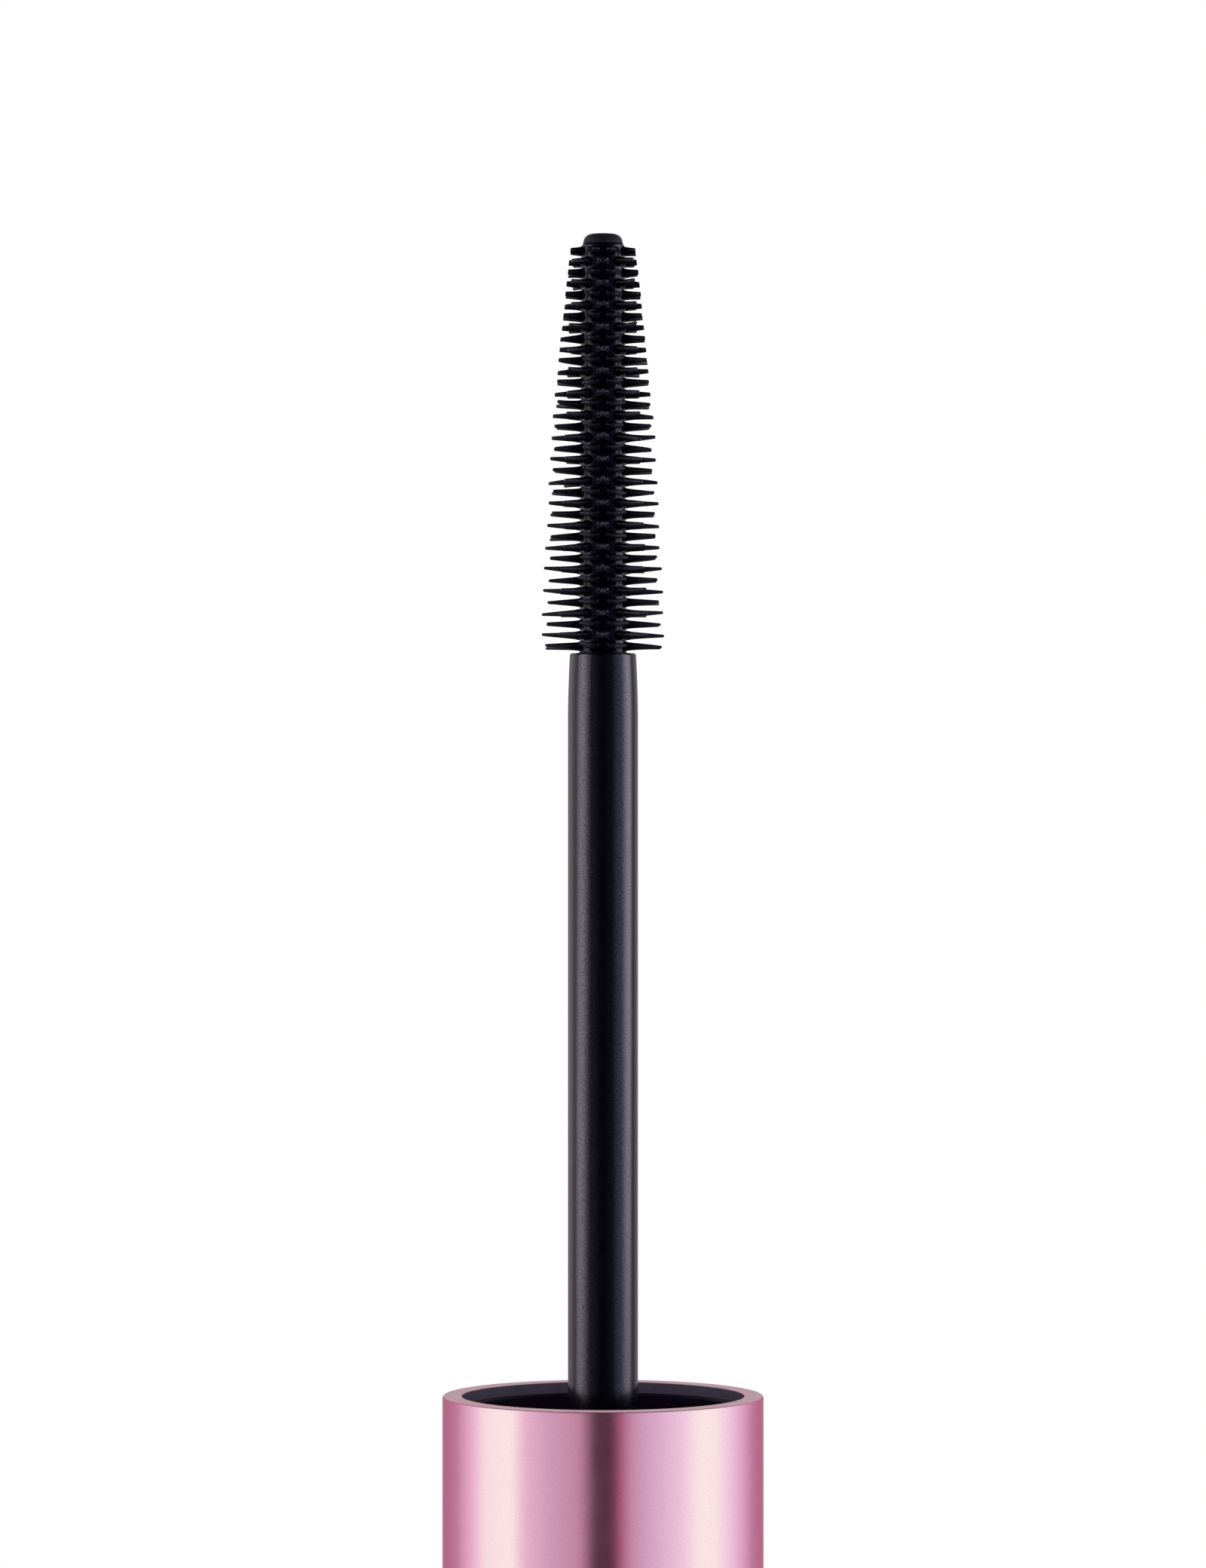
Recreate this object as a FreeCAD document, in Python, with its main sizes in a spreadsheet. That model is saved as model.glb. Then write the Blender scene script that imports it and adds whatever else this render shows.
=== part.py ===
# The wand side of a mascara: a tall cap that stands on its closed end, a stem and a moulded brush.
#
# Millimetres, +Z up. The origin is the centre of the closed end's outer face, and the stem and
# brush stand along +Z. Every sub-part is drawn about its own foot and set in place by its Placement.

import FreeCAD
import Part
import Sketcher

import math
import os
import re

# Driving dimensions. Radii, lengths, widths and heights in millimetres, angles in degrees.
DIMENSIONS = {
    # Clearance between pieces that are pressed or snapped together
    "fit_gap": 0.02,
    # Outer cap
    "cap_height": 47.0,
    "cap_radius": 9.5,
    "cap_wall": 1.15,
    "cap_end": 1.6,
    "foot_round": 0.6,
    "rim_round": 0.12,
    "snap_level": 41.0,
    "snap_depth": 0.2,
    "groove_width": 1.2,
    "groove_floor": 0.6,
    "rib_root": 0.25,
    "rib_count": 6,
    "rib_width": 0.8,
    # Weight in the closed end
    "weight_radius": 7.9,
    "weight_height": 8.0,
    "weight_chamfer": 0.4,
    # Liner: the threaded inner cap
    "liner_drop": 0.67,
    "liner_gap": 0.25,
    "liner_wall": 0.9,
    "flange_height": 2.0,
    "mouth_land": 0.35,
    "mouth_depth": 1.1,
    "bead_width": 0.96,
    "bead_crest": 0.48,
    "floor_drop": 13.0,
    "floor_thickness": 1.2,
    "socket_radius": 3.3,
    "socket_depth": 7.5,
    "knurl_count": 12,
    "knurl_start": 0.4,
    "knurl_width": 0.6,
    "knurl_length": 24.0,
    # Thread for the bottle's neck
    "thread_depth": 0.5,
    "thread_pitch": 2.1,
    "thread_turns": 1.5,
    "thread_foot": 1.1,
    "thread_crest": 0.5,
    "thread_top_drop": 2.6,
    "thread_bearing": -53.4,
    # Washer on the liner's floor
    "seal_gap": 0.1,
    "seal_height": 0.8,
    # Stem
    "stem_reach": 43.9,
    "stem_radius": 2.075,
    "stem_tip_radius": 1.96,
    "stem_taper": 3.7,
    "stem_tip_round": 0.15,
    "collar_radius": 3.75,
    "collar_height": 1.0,
    "plug_radius": 2.1,
    "plug_head_radius": 2.35,
    "plug_head_length": 1.3,
    # Joint between the stem and the brush
    "shank_radius": 1.13,
    "shank_length": 8.0,
    "shank_lead": 0.3,
    "bead_drop": 5.0,
    "bead_height": 0.12,
    "bead_half_width": 0.3,
    # Brush core
    "core_radius": 0.9,
    "button_radius": 1.2,
    "button_height": 0.62,
    "button_round": 0.55,
    # Bristle sleeve
    "sleeve_length": 24.2,
    "sleeve_foot_radius": 1.385,
    "sleeve_tip_radius": 1.27,
    "flare_radius": 1.5,
    "flare_height": 0.2,
    "ring_count": 37,
    "ring_pitch": 0.649,
    "first_ring": 0.43,
    "bristles_per_ring": 8,
    "bristle_foot_radius": 0.24,
    "bristle_end_radius": 0.075,
    "reach_at_foot": 3.73,
    "reach_at_tip": 2.56,
    "trim_at_tip": 1.96,
    "trim_slope": 0.106,
}

SHEET = "Dims"


def bound(words):
    """An expression written in the sheet's aliases, with the sheet's name put before each alias."""
    return re.sub(r"[a-z]\w*", lambda alias: f"{SHEET}.{alias.group()}", words)


def make_sheet(doc):
    """The spreadsheet that holds the driving dimensions, one alias to a row."""
    sheet = doc.addObject("Spreadsheet::Sheet", SHEET)
    for row, (alias, value) in enumerate(DIMENSIONS.items(), start=1):
        sheet.set(f"A{row}", alias)
        sheet.set(f"B{row}", str(value))
        sheet.setAlias(f"B{row}", alias)
    doc.recompute()
    return sheet


def value_of(doc, words):
    """The present value of an expression in the sheet's aliases."""
    return float(doc.getObject(SHEET).evalExpression(bound(words)))


def bind(thing, path, words):
    """Ties one property of a document object to an expression in the sheet's aliases."""
    thing.setExpression(path, bound(words))


def new_body(doc, label, level="0"):
    """A body that stands with its own foot at this level of the assembly."""
    body = doc.addObject("PartDesign::Body", label)
    body.Label = label
    if level != "0":
        bind(body, "Placement.Base.z", level)
    return body


def origin_feature(body, role):
    """One of the planes or axes of a body's own origin."""
    return next(part for part in body.Origin.OriginFeatures if part.Role == role)


def outline(doc, body, name, plane, points):
    """A closed sketch of straight lines. Each point is two expressions, for its two distances."""
    sketch = body.newObject("Sketcher::SketchObject", name)
    sketch.AttachmentSupport = (origin_feature(body, plane), [""])
    sketch.MapMode = "FlatFace"
    places = [
        FreeCAD.Vector(value_of(doc, across), value_of(doc, up), 0)
        for across, up in points
    ]
    for line, start in enumerate(places):
        end = places[(line + 1) % len(places)]
        sketch.addGeometry(Part.LineSegment(start, end), False)
    for line in range(len(places)):
        after = (line + 1) % len(places)
        sketch.addConstraint(Sketcher.Constraint("Coincident", line, 2, after, 1))
    for line, (words, place) in enumerate(zip(points, places)):
        sides = (("DistanceX", words[0], place.x, -2), ("DistanceY", words[1], place.y, -1))
        for kind, side, distance, axis in sides:
            if side == "0":
                sketch.addConstraint(Sketcher.Constraint("PointOnObject", line, 1, axis))
                continue
            rule = Sketcher.Constraint(kind, -1, 1, line, 1, distance)
            index = sketch.addConstraint(rule)
            bind(sketch, f"Constraints[{index}]", side)
    return sketch


def revolve(doc, body, name, points):
    """A solid of revolution about Z. Each point is a radius and a height above the body's foot."""
    turned = body.newObject("PartDesign::Revolution", name)
    turned.Profile = outline(doc, body, name + "_outline", "XZ_Plane", points)
    turned.ReferenceAxis = (turned.Profile[0], ["V_Axis"])
    turned.Angle = 360
    doc.recompute()
    return turned


def ring_edges(feature, radius, height):
    """The names of a feature's circular edges of this radius about Z at this height."""
    names = []
    for index, edge in enumerate(feature.Shape.Edges, start=1):
        if not isinstance(edge.Curve, Part.Circle):
            continue
        same_radius = abs(edge.Curve.Radius - radius) < 1e-4
        same_height = abs(edge.Curve.Center.z - height) < 1e-4
        if same_radius and same_height:
            names.append(f"Edge{index}")
    return names


def round_edge(doc, body, feature, name, radius, height, size):
    """A fillet on the circular edge that has this radius and height, all three as expressions."""
    fillet = body.newObject("PartDesign::Fillet", name)
    names = ring_edges(feature, value_of(doc, radius), value_of(doc, height))
    if not names:
        raise RuntimeError(f"{name} found no edge to round")
    fillet.Base = (feature, names)
    bind(fillet, "Radius", size)
    doc.recompute()
    return fillet


def ribs(doc, body, name, inner, outer, width, level, length, count):
    """Upright ribs of one width between two radii, spaced evenly about Z."""
    pad = body.newObject("PartDesign::Pad", name)
    corners = [
        (inner, f"-({width}) / 2"),
        (outer, f"-({width}) / 2"),
        (outer, f"({width}) / 2"),
        (inner, f"({width}) / 2"),
    ]
    sketch = outline(doc, body, name + "_outline", "XY_Plane", corners)
    bind(sketch, "AttachmentOffset.Base.z", level)
    pad.Profile = sketch
    bind(pad, "Length", length)
    doc.recompute()
    pattern = body.newObject("PartDesign::PolarPattern", name + "_pattern")
    pattern.Originals = [pad]
    pattern.Axis = (origin_feature(body, "Z_Axis"), [""])
    pattern.Angle = 360
    bind(pattern, "Occurrences", count)
    body.Tip = pattern
    doc.recompute()
    return pattern


CAP_BORE = "(cap_radius - cap_wall)"
LINER_FOOT = "(cap_end + weight_height)"
LINER_LENGTH = f"(cap_height - liner_drop - {LINER_FOOT})"
LINER_FLOOR = f"(cap_height - floor_drop - {LINER_FOOT})"
SKIRT_RADIUS = f"({CAP_BORE} - liner_gap)"
THREAD_ROOT = f"({SKIRT_RADIUS} - liner_wall)"
FLOOR_LEVEL = "(cap_height - floor_drop)"
STEM_LENGTH = "(stem_reach + floor_drop)"
BRUSH_FOOT = "(cap_height + stem_reach)"


def outer_cap(doc):
    """The visible cap: a cup with a snap groove for the liner and ribs that centre the weight."""
    body = new_body(doc, "outer_cap")
    groove = f"({CAP_BORE} + snap_depth)"
    cup = revolve(doc, body, "cup", [
        ("0", "0"),
        ("cap_radius", "0"),
        ("cap_radius", "cap_height"),
        (CAP_BORE, "cap_height"),
        (CAP_BORE, "snap_level + groove_width / 2"),
        (groove, "snap_level + groove_floor / 2"),
        (groove, "snap_level - groove_floor / 2"),
        (CAP_BORE, "snap_level - groove_width / 2"),
        (CAP_BORE, "cap_end"),
        ("0", "cap_end"),
    ])
    foot = round_edge(doc, body, cup, "foot_edge", "cap_radius", "0", "foot_round")
    round_edge(doc, body, foot, "rim_edge", "cap_radius", "cap_height", "rim_round")
    ribs(
        doc, body, "centring_rib", "weight_radius + fit_gap", f"{CAP_BORE} + rib_root",
        "rib_width", "cap_end", "weight_height", "rib_count",
    )
    return body


def cap_weight(doc):
    """The steel slug that lies on the closed end, inside the ribs."""
    body = new_body(doc, "cap_weight", "cap_end")
    revolve(doc, body, "slug", [
        ("0", "0"),
        ("weight_radius - weight_chamfer", "0"),
        ("weight_radius", "weight_chamfer"),
        ("weight_radius", "weight_height - weight_chamfer"),
        ("weight_radius - weight_chamfer", "weight_height"),
        ("0", "weight_height"),
    ])
    return body


def add_thread(doc, body):
    """A right-hand ridge inside the liner, as a short section carried along a helix."""
    ridge = body.newObject("PartDesign::AdditiveHelix", "thread")
    middle = f"({LINER_LENGTH} - thread_top_drop - thread_pitch * thread_turns)"
    crest = f"({THREAD_ROOT} - thread_depth)"
    anchor = f"({THREAD_ROOT} + rib_root)"
    section = outline(doc, body, "thread_outline", "XZ_Plane", [
        (anchor, f"{middle} - thread_foot / 2"),
        (anchor, f"{middle} + thread_foot / 2"),
        (THREAD_ROOT, f"{middle} + thread_foot / 2"),
        (crest, f"{middle} + thread_crest / 2"),
        (crest, f"{middle} - thread_crest / 2"),
        (THREAD_ROOT, f"{middle} - thread_foot / 2"),
    ])
    turn = FreeCAD.Rotation(FreeCAD.Vector(0, 1, 0), value_of(doc, "thread_bearing"))
    section.AttachmentOffset = FreeCAD.Placement(FreeCAD.Vector(), turn)
    ridge.Profile = section
    ridge.ReferenceAxis = (section, ["V_Axis"])
    ridge.Mode = "pitch-turns-angle"
    bind(ridge, "Pitch", "thread_pitch")
    bind(ridge, "Turns", "thread_turns")
    body.Tip = ridge
    doc.recompute()
    return ridge


def inner_cap(doc):
    """The liner: flange and snap bead outside, thread and floor inside, and a socket below."""
    body = new_body(doc, "inner_cap", LINER_FOOT)
    snap = f"(snap_level - {LINER_FOOT})"
    bead = f"({CAP_BORE} + snap_depth - fit_gap)"
    flange = f"({CAP_BORE} - fit_gap)"
    mouth = f"({flange} - mouth_land)"
    hole = "(plug_radius + fit_gap)"
    socket_end = f"({LINER_FLOOR} - floor_thickness - socket_depth)"
    revolve(doc, body, "liner", [
        (SKIRT_RADIUS, "0"),
        (SKIRT_RADIUS, f"{snap} - bead_width / 2"),
        (bead, f"{snap} - bead_crest / 2"),
        (bead, f"{snap} + bead_crest / 2"),
        (SKIRT_RADIUS, f"{snap} + bead_width / 2"),
        (SKIRT_RADIUS, f"{LINER_LENGTH} - flange_height"),
        (flange, f"{LINER_LENGTH} - flange_height"),
        (flange, LINER_LENGTH),
        (mouth, LINER_LENGTH),
        (mouth, f"{LINER_LENGTH} - mouth_depth"),
        (THREAD_ROOT, f"{LINER_LENGTH} - mouth_depth - {mouth} + {THREAD_ROOT}"),
        (THREAD_ROOT, LINER_FLOOR),
        (hole, LINER_FLOOR),
        (hole, socket_end),
        ("socket_radius", socket_end),
        ("socket_radius", f"{LINER_FLOOR} - floor_thickness"),
        (THREAD_ROOT, f"{LINER_FLOOR} - floor_thickness"),
        (THREAD_ROOT, "0"),
    ])
    add_thread(doc, body)
    ribs(
        doc, body, "knurl", f"{SKIRT_RADIUS} - rib_root", flange,
        "knurl_width", "knurl_start", "knurl_length", "knurl_count",
    )
    return body


def neck_seal(doc):
    """The washer on the liner's floor, around the stem's collar."""
    disc = doc.addObject("Part::Cylinder", "seal_disc")
    hole = doc.addObject("Part::Cylinder", "seal_hole")
    bind(disc, "Radius", f"{THREAD_ROOT} - seal_gap")
    bind(hole, "Radius", "collar_radius + seal_gap")
    for cylinder in (disc, hole):
        bind(cylinder, "Height", "seal_height")
    washer = doc.addObject("Part::Cut", "neck_seal")
    washer.Base = disc
    washer.Tool = hole
    washer.Label = "neck_seal"
    bind(washer, "Placement.Base.z", FLOOR_LEVEL)
    doc.recompute()
    return washer


def stem(doc):
    """The rod: a snap plug below its collar, and a bore for the brush at its narrowed top end."""
    body = new_body(doc, "stem", FLOOR_LEVEL)
    grip = "(floor_thickness + socket_depth + fit_gap)"
    bore = "(shank_radius + fit_gap)"
    bead = f"({STEM_LENGTH} - bead_drop)"
    rod = revolve(doc, body, "rod", [
        ("0", f"-{grip} - plug_head_length"),
        ("plug_head_radius / 2", f"-{grip} - plug_head_length"),
        ("plug_head_radius", f"-{grip}"),
        ("plug_radius", f"-{grip}"),
        ("plug_radius", "0"),
        ("collar_radius", "0"),
        ("collar_radius", "collar_height"),
        ("stem_radius", "collar_height"),
        ("stem_radius", f"{STEM_LENGTH} - stem_taper"),
        ("stem_tip_radius", STEM_LENGTH),
        (bore, STEM_LENGTH),
        (bore, f"{bead} + bead_half_width + fit_gap"),
        (f"{bore} + bead_height", bead),
        (bore, f"{bead} - bead_half_width - fit_gap"),
        (bore, f"{STEM_LENGTH} - shank_length - shank_lead"),
        ("0", f"{STEM_LENGTH} - shank_length - shank_lead"),
    ])
    round_edge(doc, body, rod, "tip_edge", "stem_tip_radius", STEM_LENGTH, "stem_tip_round")
    return body


def brush_core(doc):
    """The rigid pin of the brush: a shank for the stem's bore, the pin and the tip button."""
    body = new_body(doc, "brush_core", BRUSH_FOOT)
    top = "(sleeve_length + button_height)"
    pin = revolve(doc, body, "pin", [
        ("0", "-shank_length"),
        ("shank_radius - shank_lead", "-shank_length"),
        ("shank_radius", "-shank_length + shank_lead"),
        ("shank_radius", "-bead_drop - bead_half_width"),
        ("shank_radius + bead_height", "-bead_drop"),
        ("shank_radius", "-bead_drop + bead_half_width"),
        ("shank_radius", "0"),
        ("core_radius", "0"),
        ("core_radius", "sleeve_length"),
        ("button_radius", "sleeve_length"),
        ("button_radius", top),
        ("0", top),
    ])
    round_edge(doc, body, pin, "button_edge", "button_radius", top, "button_round")
    return body


def bristle_reach(size, below_tip, bearing):
    """How far from the axis a bristle ends: a tapering round brush, trimmed on four sides."""
    span = (size["ring_count"] - 1) * size["ring_pitch"]
    along = below_tip / span
    full = size["reach_at_tip"] + (size["reach_at_foot"] - size["reach_at_tip"]) * along
    side = size["trim_at_tip"] + size["trim_slope"] * below_tip
    trimmed = side / max(abs(math.cos(bearing)), abs(math.sin(bearing)))
    return full, min(full, trimmed)


def bristle(size, foot, direction, full, reach):
    """One tapered bristle, cut short where the brush is trimmed."""
    start = size["core_radius"] + (size["sleeve_tip_radius"] - size["core_radius"]) / 2
    share = (reach - start) / (full - start)
    wide = size["bristle_foot_radius"]
    end = wide + (size["bristle_end_radius"] - wide) * share
    return Part.makeCone(wide, end, reach - start, foot + direction * start, direction)


def bristle_sleeve(doc):
    """The elastomer sleeve: a tapering tube over the pin, with rings of bristles set in turn."""
    size = {alias: value_of(doc, alias) for alias in DIMENSIONS}
    length = size["sleeve_length"]
    tube = Part.makeCone(size["sleeve_foot_radius"], size["sleeve_tip_radius"], length)
    flare = Part.makeCone(size["flare_radius"], size["sleeve_foot_radius"], size["flare_height"])
    hole = Part.makeCylinder(size["core_radius"] + size["fit_gap"], length)
    step = 2 * math.pi / size["bristles_per_ring"]
    bristles = []
    for ring in range(int(size["ring_count"])):
        below_tip = ring * size["ring_pitch"]
        foot = FreeCAD.Vector(0, 0, length - size["first_ring"] - below_tip)
        offset = step / 2 if ring % 2 == 0 else 0
        for place in range(int(size["bristles_per_ring"])):
            bearing = offset + place * step
            direction = FreeCAD.Vector(math.cos(bearing), math.sin(bearing), 0)
            full, reach = bristle_reach(size, below_tip, bearing)
            bristles.append(bristle(size, foot, direction, full, reach))
    sleeve = doc.addObject("Part::Feature", "bristle_sleeve")
    sleeve.Label = "bristle_sleeve"
    sleeve.Shape = tube.fuse([flare] + bristles).cut(hole)
    sleeve.Placement.Base.z = value_of(doc, BRUSH_FOOT)
    return sleeve


def check(doc, parts):
    """Stops if any object failed to compute or any sub-part is not a valid solid."""
    for thing in doc.Objects:
        if "Invalid" in thing.State or "Error" in thing.State:
            raise RuntimeError(f"{thing.Name} did not compute: {thing.State}")
    for part in parts:
        if part.Shape.isNull() or not part.Shape.isValid():
            raise RuntimeError(f"{part.Label} has no valid shape")
        if len(part.Shape.Solids) != 1:
            raise RuntimeError(f"{part.Label} is not one solid")


def main():
    doc = FreeCAD.newDocument("mascara_applicator")
    make_sheet(doc)
    makers = (
        outer_cap, cap_weight, inner_cap, neck_seal, stem, brush_core, bristle_sleeve,
    )
    parts = [maker(doc) for maker in makers]
    doc.recompute()
    check(doc, parts)
    os.makedirs("parts", exist_ok=True)
    for part in parts:
        part.Shape.exportStep(os.path.join("parts", part.Label + ".step"))
        box = part.Shape.BoundBox
        print(f"{part.Label}: {part.Shape.Volume:.1f} mm3, z {box.ZMin:.2f} to {box.ZMax:.2f}")


main()
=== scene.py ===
# The wand side of a mascara: pink metallised cap, black stem and moulded brush, in a pale studio.
# Metres, +Z up, in the frame of the CAD model. Bearings are in radians about Z, from +X.

import math
import random

import bmesh
import bpy
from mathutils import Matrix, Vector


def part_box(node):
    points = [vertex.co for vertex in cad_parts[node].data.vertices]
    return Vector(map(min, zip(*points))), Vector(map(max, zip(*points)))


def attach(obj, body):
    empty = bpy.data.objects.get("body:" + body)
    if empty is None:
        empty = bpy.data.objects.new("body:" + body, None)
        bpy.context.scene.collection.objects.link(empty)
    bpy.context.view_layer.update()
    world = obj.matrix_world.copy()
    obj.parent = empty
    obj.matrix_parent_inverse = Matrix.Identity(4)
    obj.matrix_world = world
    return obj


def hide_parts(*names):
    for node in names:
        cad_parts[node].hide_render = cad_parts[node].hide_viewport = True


MM = 0.001
SEGMENTS = 288  # faces round a turned piece

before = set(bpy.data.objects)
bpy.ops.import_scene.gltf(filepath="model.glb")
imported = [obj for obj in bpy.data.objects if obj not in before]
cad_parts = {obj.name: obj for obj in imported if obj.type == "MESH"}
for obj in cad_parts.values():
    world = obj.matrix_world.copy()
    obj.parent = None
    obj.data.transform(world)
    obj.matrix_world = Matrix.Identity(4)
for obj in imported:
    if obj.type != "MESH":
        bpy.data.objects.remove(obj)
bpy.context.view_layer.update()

# Levels and radii that the CAD model gives
CAP_FOOT, CAP_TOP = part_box("outer_cap")
CAP_RADIUS = CAP_TOP.x
RIM = CAP_TOP.z
LINER_FOOT, LINER_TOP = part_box("inner_cap")
SEAL_FOOT, SEAL_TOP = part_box("neck_seal")
STEM_FOOT, STEM_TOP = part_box("stem")
CORE_FOOT, CORE_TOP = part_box("brush_core")
SLEEVE_FOOT, SLEEVE_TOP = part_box("bristle_sleeve")
FLOOR_LEVEL = SEAL_FOOT.z

# Sizes that the boxes don't give. The fit is the gap between pieces that are pressed together.
FIT = 0.02 * MM
SMALL_ROUNDING = 0.1 * MM
ROUNDING = 0.2 * MM
FILLET = 0.3 * MM

CAP_WALL = 1.15 * MM
CAP_BORE = CAP_RADIUS - CAP_WALL
CAP_END = 1.6 * MM
CAP_END_ROUNDING = 0.6 * MM
CAP_END_FILLET = 0.5 * MM
RIM_ROUNDING = 0.13 * MM
RIM_INNER_ROUNDING = 0.07 * MM
SNAP_LEVEL = 41.0 * MM
GROOVE_DEPTH = 0.2 * MM
GROOVE_HALF = 0.6 * MM
BEAD_HALF = 0.48 * MM

LINER_SKIRT = 8.1 * MM
LINER_FLANGE = 8.33 * MM
FLANGE_HEIGHT = 2.0 * MM
FLANGE_ROUNDING = 0.05 * MM
MOUTH_RADIUS = LINER_FLANGE - 0.35 * MM
MOUTH_DEPTH = 1.1 * MM
MOUTH_ROUNDING = 0.12 * MM
LINER_FLOOR = 1.2 * MM
SOCKET_RADIUS = 3.3 * MM
SOCKET_DEPTH = 8.7 * MM
WALL_FOOT = 5 * MM  # above the liner's floor
WALL_ROWS = 90
THREAD_ROOT = 7.2 * MM
THREAD_DEPTH = 0.5 * MM
THREAD_PITCH = 2.1 * MM
THREAD_TURNS = 1.5
THREAD_FOOT = 1.1 * MM
THREAD_CREST = 0.5 * MM
THREAD_TOP_DROP = 2.6 * MM
THREAD_BEARING = math.radians(-53.4)
THREAD_FADE = 0.02  # of a turn, at each end
SEAL_BORE = 3.85 * MM
SEAL_FOOT_ROUNDING = 0.08 * MM
SEAL_TOP_ROUNDING = 0.15 * MM

PLUG_RADIUS = 2.1 * MM
BARB_RADIUS = 2.35 * MM
BARB_NOSE = 1.17 * MM
STEM_RADIUS = 2.075 * MM
STEM_TIP_RADIUS = 1.96 * MM
STEM_TAPER = 3.7 * MM
TAPER_STEPS = 14
TAPER_CURVE = 1.6
STEM_TIP_ROUNDING = 0.15 * MM
BORE_ROUNDING = 0.05 * MM
COLLAR_HEIGHT = 1.0 * MM

SHANK_RADIUS = 1.13 * MM
SHANK_CHAMFER = 0.3 * MM
SHANK_DEPTH = 8.3 * MM
PIN_RADIUS = 0.9 * MM
BUTTON_RADIUS = 1.2 * MM
BUTTON_ROUNDING = 0.52 * MM
BUTTON_CROWN = 0.02 * MM

SLEEVE_FOOT_RADIUS = 1.385 * MM
SLEEVE_TIP_RADIUS = 1.27 * MM
HEM_RADIUS = 1.46 * MM
HEM_HEIGHT = 0.06 * MM
TIP_EDGE = ((0.02, 0.06), (0.07, 0.015), (0.12, 0))  # how far in and down, in millimetres
RING_COUNT = 37
RING_PITCH = 0.649 * MM
FIRST_RING = 0.43 * MM
BRISTLES_PER_RING = 8
BRISTLE_FOOT_RADIUS = 0.24 * MM
BRISTLE_END_RADIUS = 0.075 * MM
TIP_RING_END_RADIUS = 0.12 * MM
REACH_AT_FOOT = 3.73 * MM
REACH_AT_TIP = 2.56 * MM
TRIM_AT_TIP = 1.96 * MM
TRIM_SLOPE = 0.106

# How the bristles differ from one another: how much shorter and thinner or thicker at most, as
# shares, and the standard deviations of how far their ends lean and bend aside
LENGTH_PLAY = 0.03
WIDTH_PLAY = 0.04
LEAN_PLAY = 0.03 * MM
BEND_PLAY = 0.055 * MM

# The flare at a bristle's root: how wide it is at the sleeve, how fast it dies out, and the loops up
# to it, each by its share of the way in from the cell's edge and how proud it is in millimetres
ROOT_FLARE = 0.07 * MM
ROOT_FADE = 0.16 * MM
ROOT_LOOPS = ((0.45, 0.004), (0.78, 0.02), (0.94, 0.055))

# The shaft starts this far above the sleeve, and its loops crowd towards the root. It ends in a
# rounded tip, or in a bevelled cut with some room below it because the cut may slant.
SHAFT_START = 0.1 * MM
SHAFT_STEPS = 7
SHAFT_CROWDING = 1.3
TIP_ROUNDING = 0.07 * MM
TIP_DEGREES = (30, 60, 80)
CUT_BEVEL = 0.02 * MM
CUT_ROOM = 0.1 * MM

# Steps along one side of a bristle's cell, and vertices in a row between two rings and in a bristle's
# loop, which takes both rows' vertices and one at each flank
CELL_STEPS = 6
HALF_CELL = CELL_STEPS // 2
AROUND = CELL_STEPS * BRISTLES_PER_RING
LOOP = 2 * CELL_STEPS + 4

# Material slots of the cap
LACQUER, BARE_WALL, RIM_FACE = 0, 1, 2

GRAIN_SHADE = 0.4  # how much of the gloss the dullest specks of a moulded grain keep

# Distances from the axis, in millimetres, over which the painted shade near the core fades out: at
# its depth inside the first, gone beyond the second
PAINTED_SHADE_FULL, PAINTED_SHADE_END = 1.35, 2.6
PAINTED_SHADE_DEPTH = 0.85  # how deep the painted shade near the core goes towards the deeper black and faded gloss

# The studio. The floor fades between two radii into the white around it.
FLOOR_RADIUS = 0.25
FLOOR_FADE = (0.05, 0.2)
FLOOR_GAP = 0.02 * MM
LIGHT_DISTANCE = 0.7
LIGHT_HEIGHT = 1.0
LIGHT_FALL = (0.38, 0.45)  # where a soft box fades, as shares of its height
CAMERA_DISTANCE = 0.355
CAMERA_RISE = 36.17 * MM  # above the rim
CAMERA_LENS = 137.75
CAMERA_SENSOR = 36

# How bright the studio is by bearing from the front: degrees to the right, then the light's colour
SURROUNDINGS = (
    (-180, (0.50, 0.43, 0.46)),
    (-130, (0.65, 0.45, 0.54)),
    (-105, (1.07, 0.98, 1.01)),
    (-94, (1.20, 1.48, 1.25)),
    (-68, (1.25, 1.70, 1.25)),
    (-58, (1.00, 0.93, 0.97)),
    (-35, (0.75, 0.65, 0.72)),
    (-17, (0.71, 0.50, 0.58)),
    (-6, (0.085, 0.055, 0.07)),
    (7, (0.09, 0.05, 0.06)),
    (13, (0.52, 0.20, 0.28)),
    (21, (0.70, 0.58, 0.66)),
    (35, (0.85, 0.80, 0.90)),
    (58, (1.07, 1.15, 1.15)),
    (72, (1.22, 1.68, 1.25)),
    (86, (1.22, 1.65, 1.25)),
    (97, (1.15, 1.36, 1.25)),
    (112, (1.00, 0.92, 1.02)),
    (135, (0.64, 0.47, 0.55)),
    (180, (0.50, 0.43, 0.46)),
)
DIFFUSE_BRIGHTNESS = 0.9
CEILING_BRIGHTNESS = 0.25

# The soft boxes that draw the wand's highlights: name, bearing and width in degrees, slant, what is
# left of the light low down, power and colour. The slant is how far it leans, in widths to a height.
WAND_LIGHTS = (
    ("left_strip", -69.5, 64, 1.6, 0.1, 78, (1.04, 0.95, 0.98)),
    ("left_back", -114, 90, 0, 0.6, 11, (1.00, 0.90, 1.05)),
    ("left_fill", -38, 50, 0, 1, 2.6, (0.85, 0.95, 1.40)),
    ("right_fill", 58, 60, 0, 1, 17, (0.80, 0.88, 1.35)),
    ("right_strip", 88.5, 57, 0.6, 0.1, 60, (0.96, 0.93, 1.04)),
    ("right_back", 135, 70, 0, 1, 2.4, (0.96, 0.93, 1.04)),
)


# ---------------------------------------------------------------- mesh tools

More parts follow.
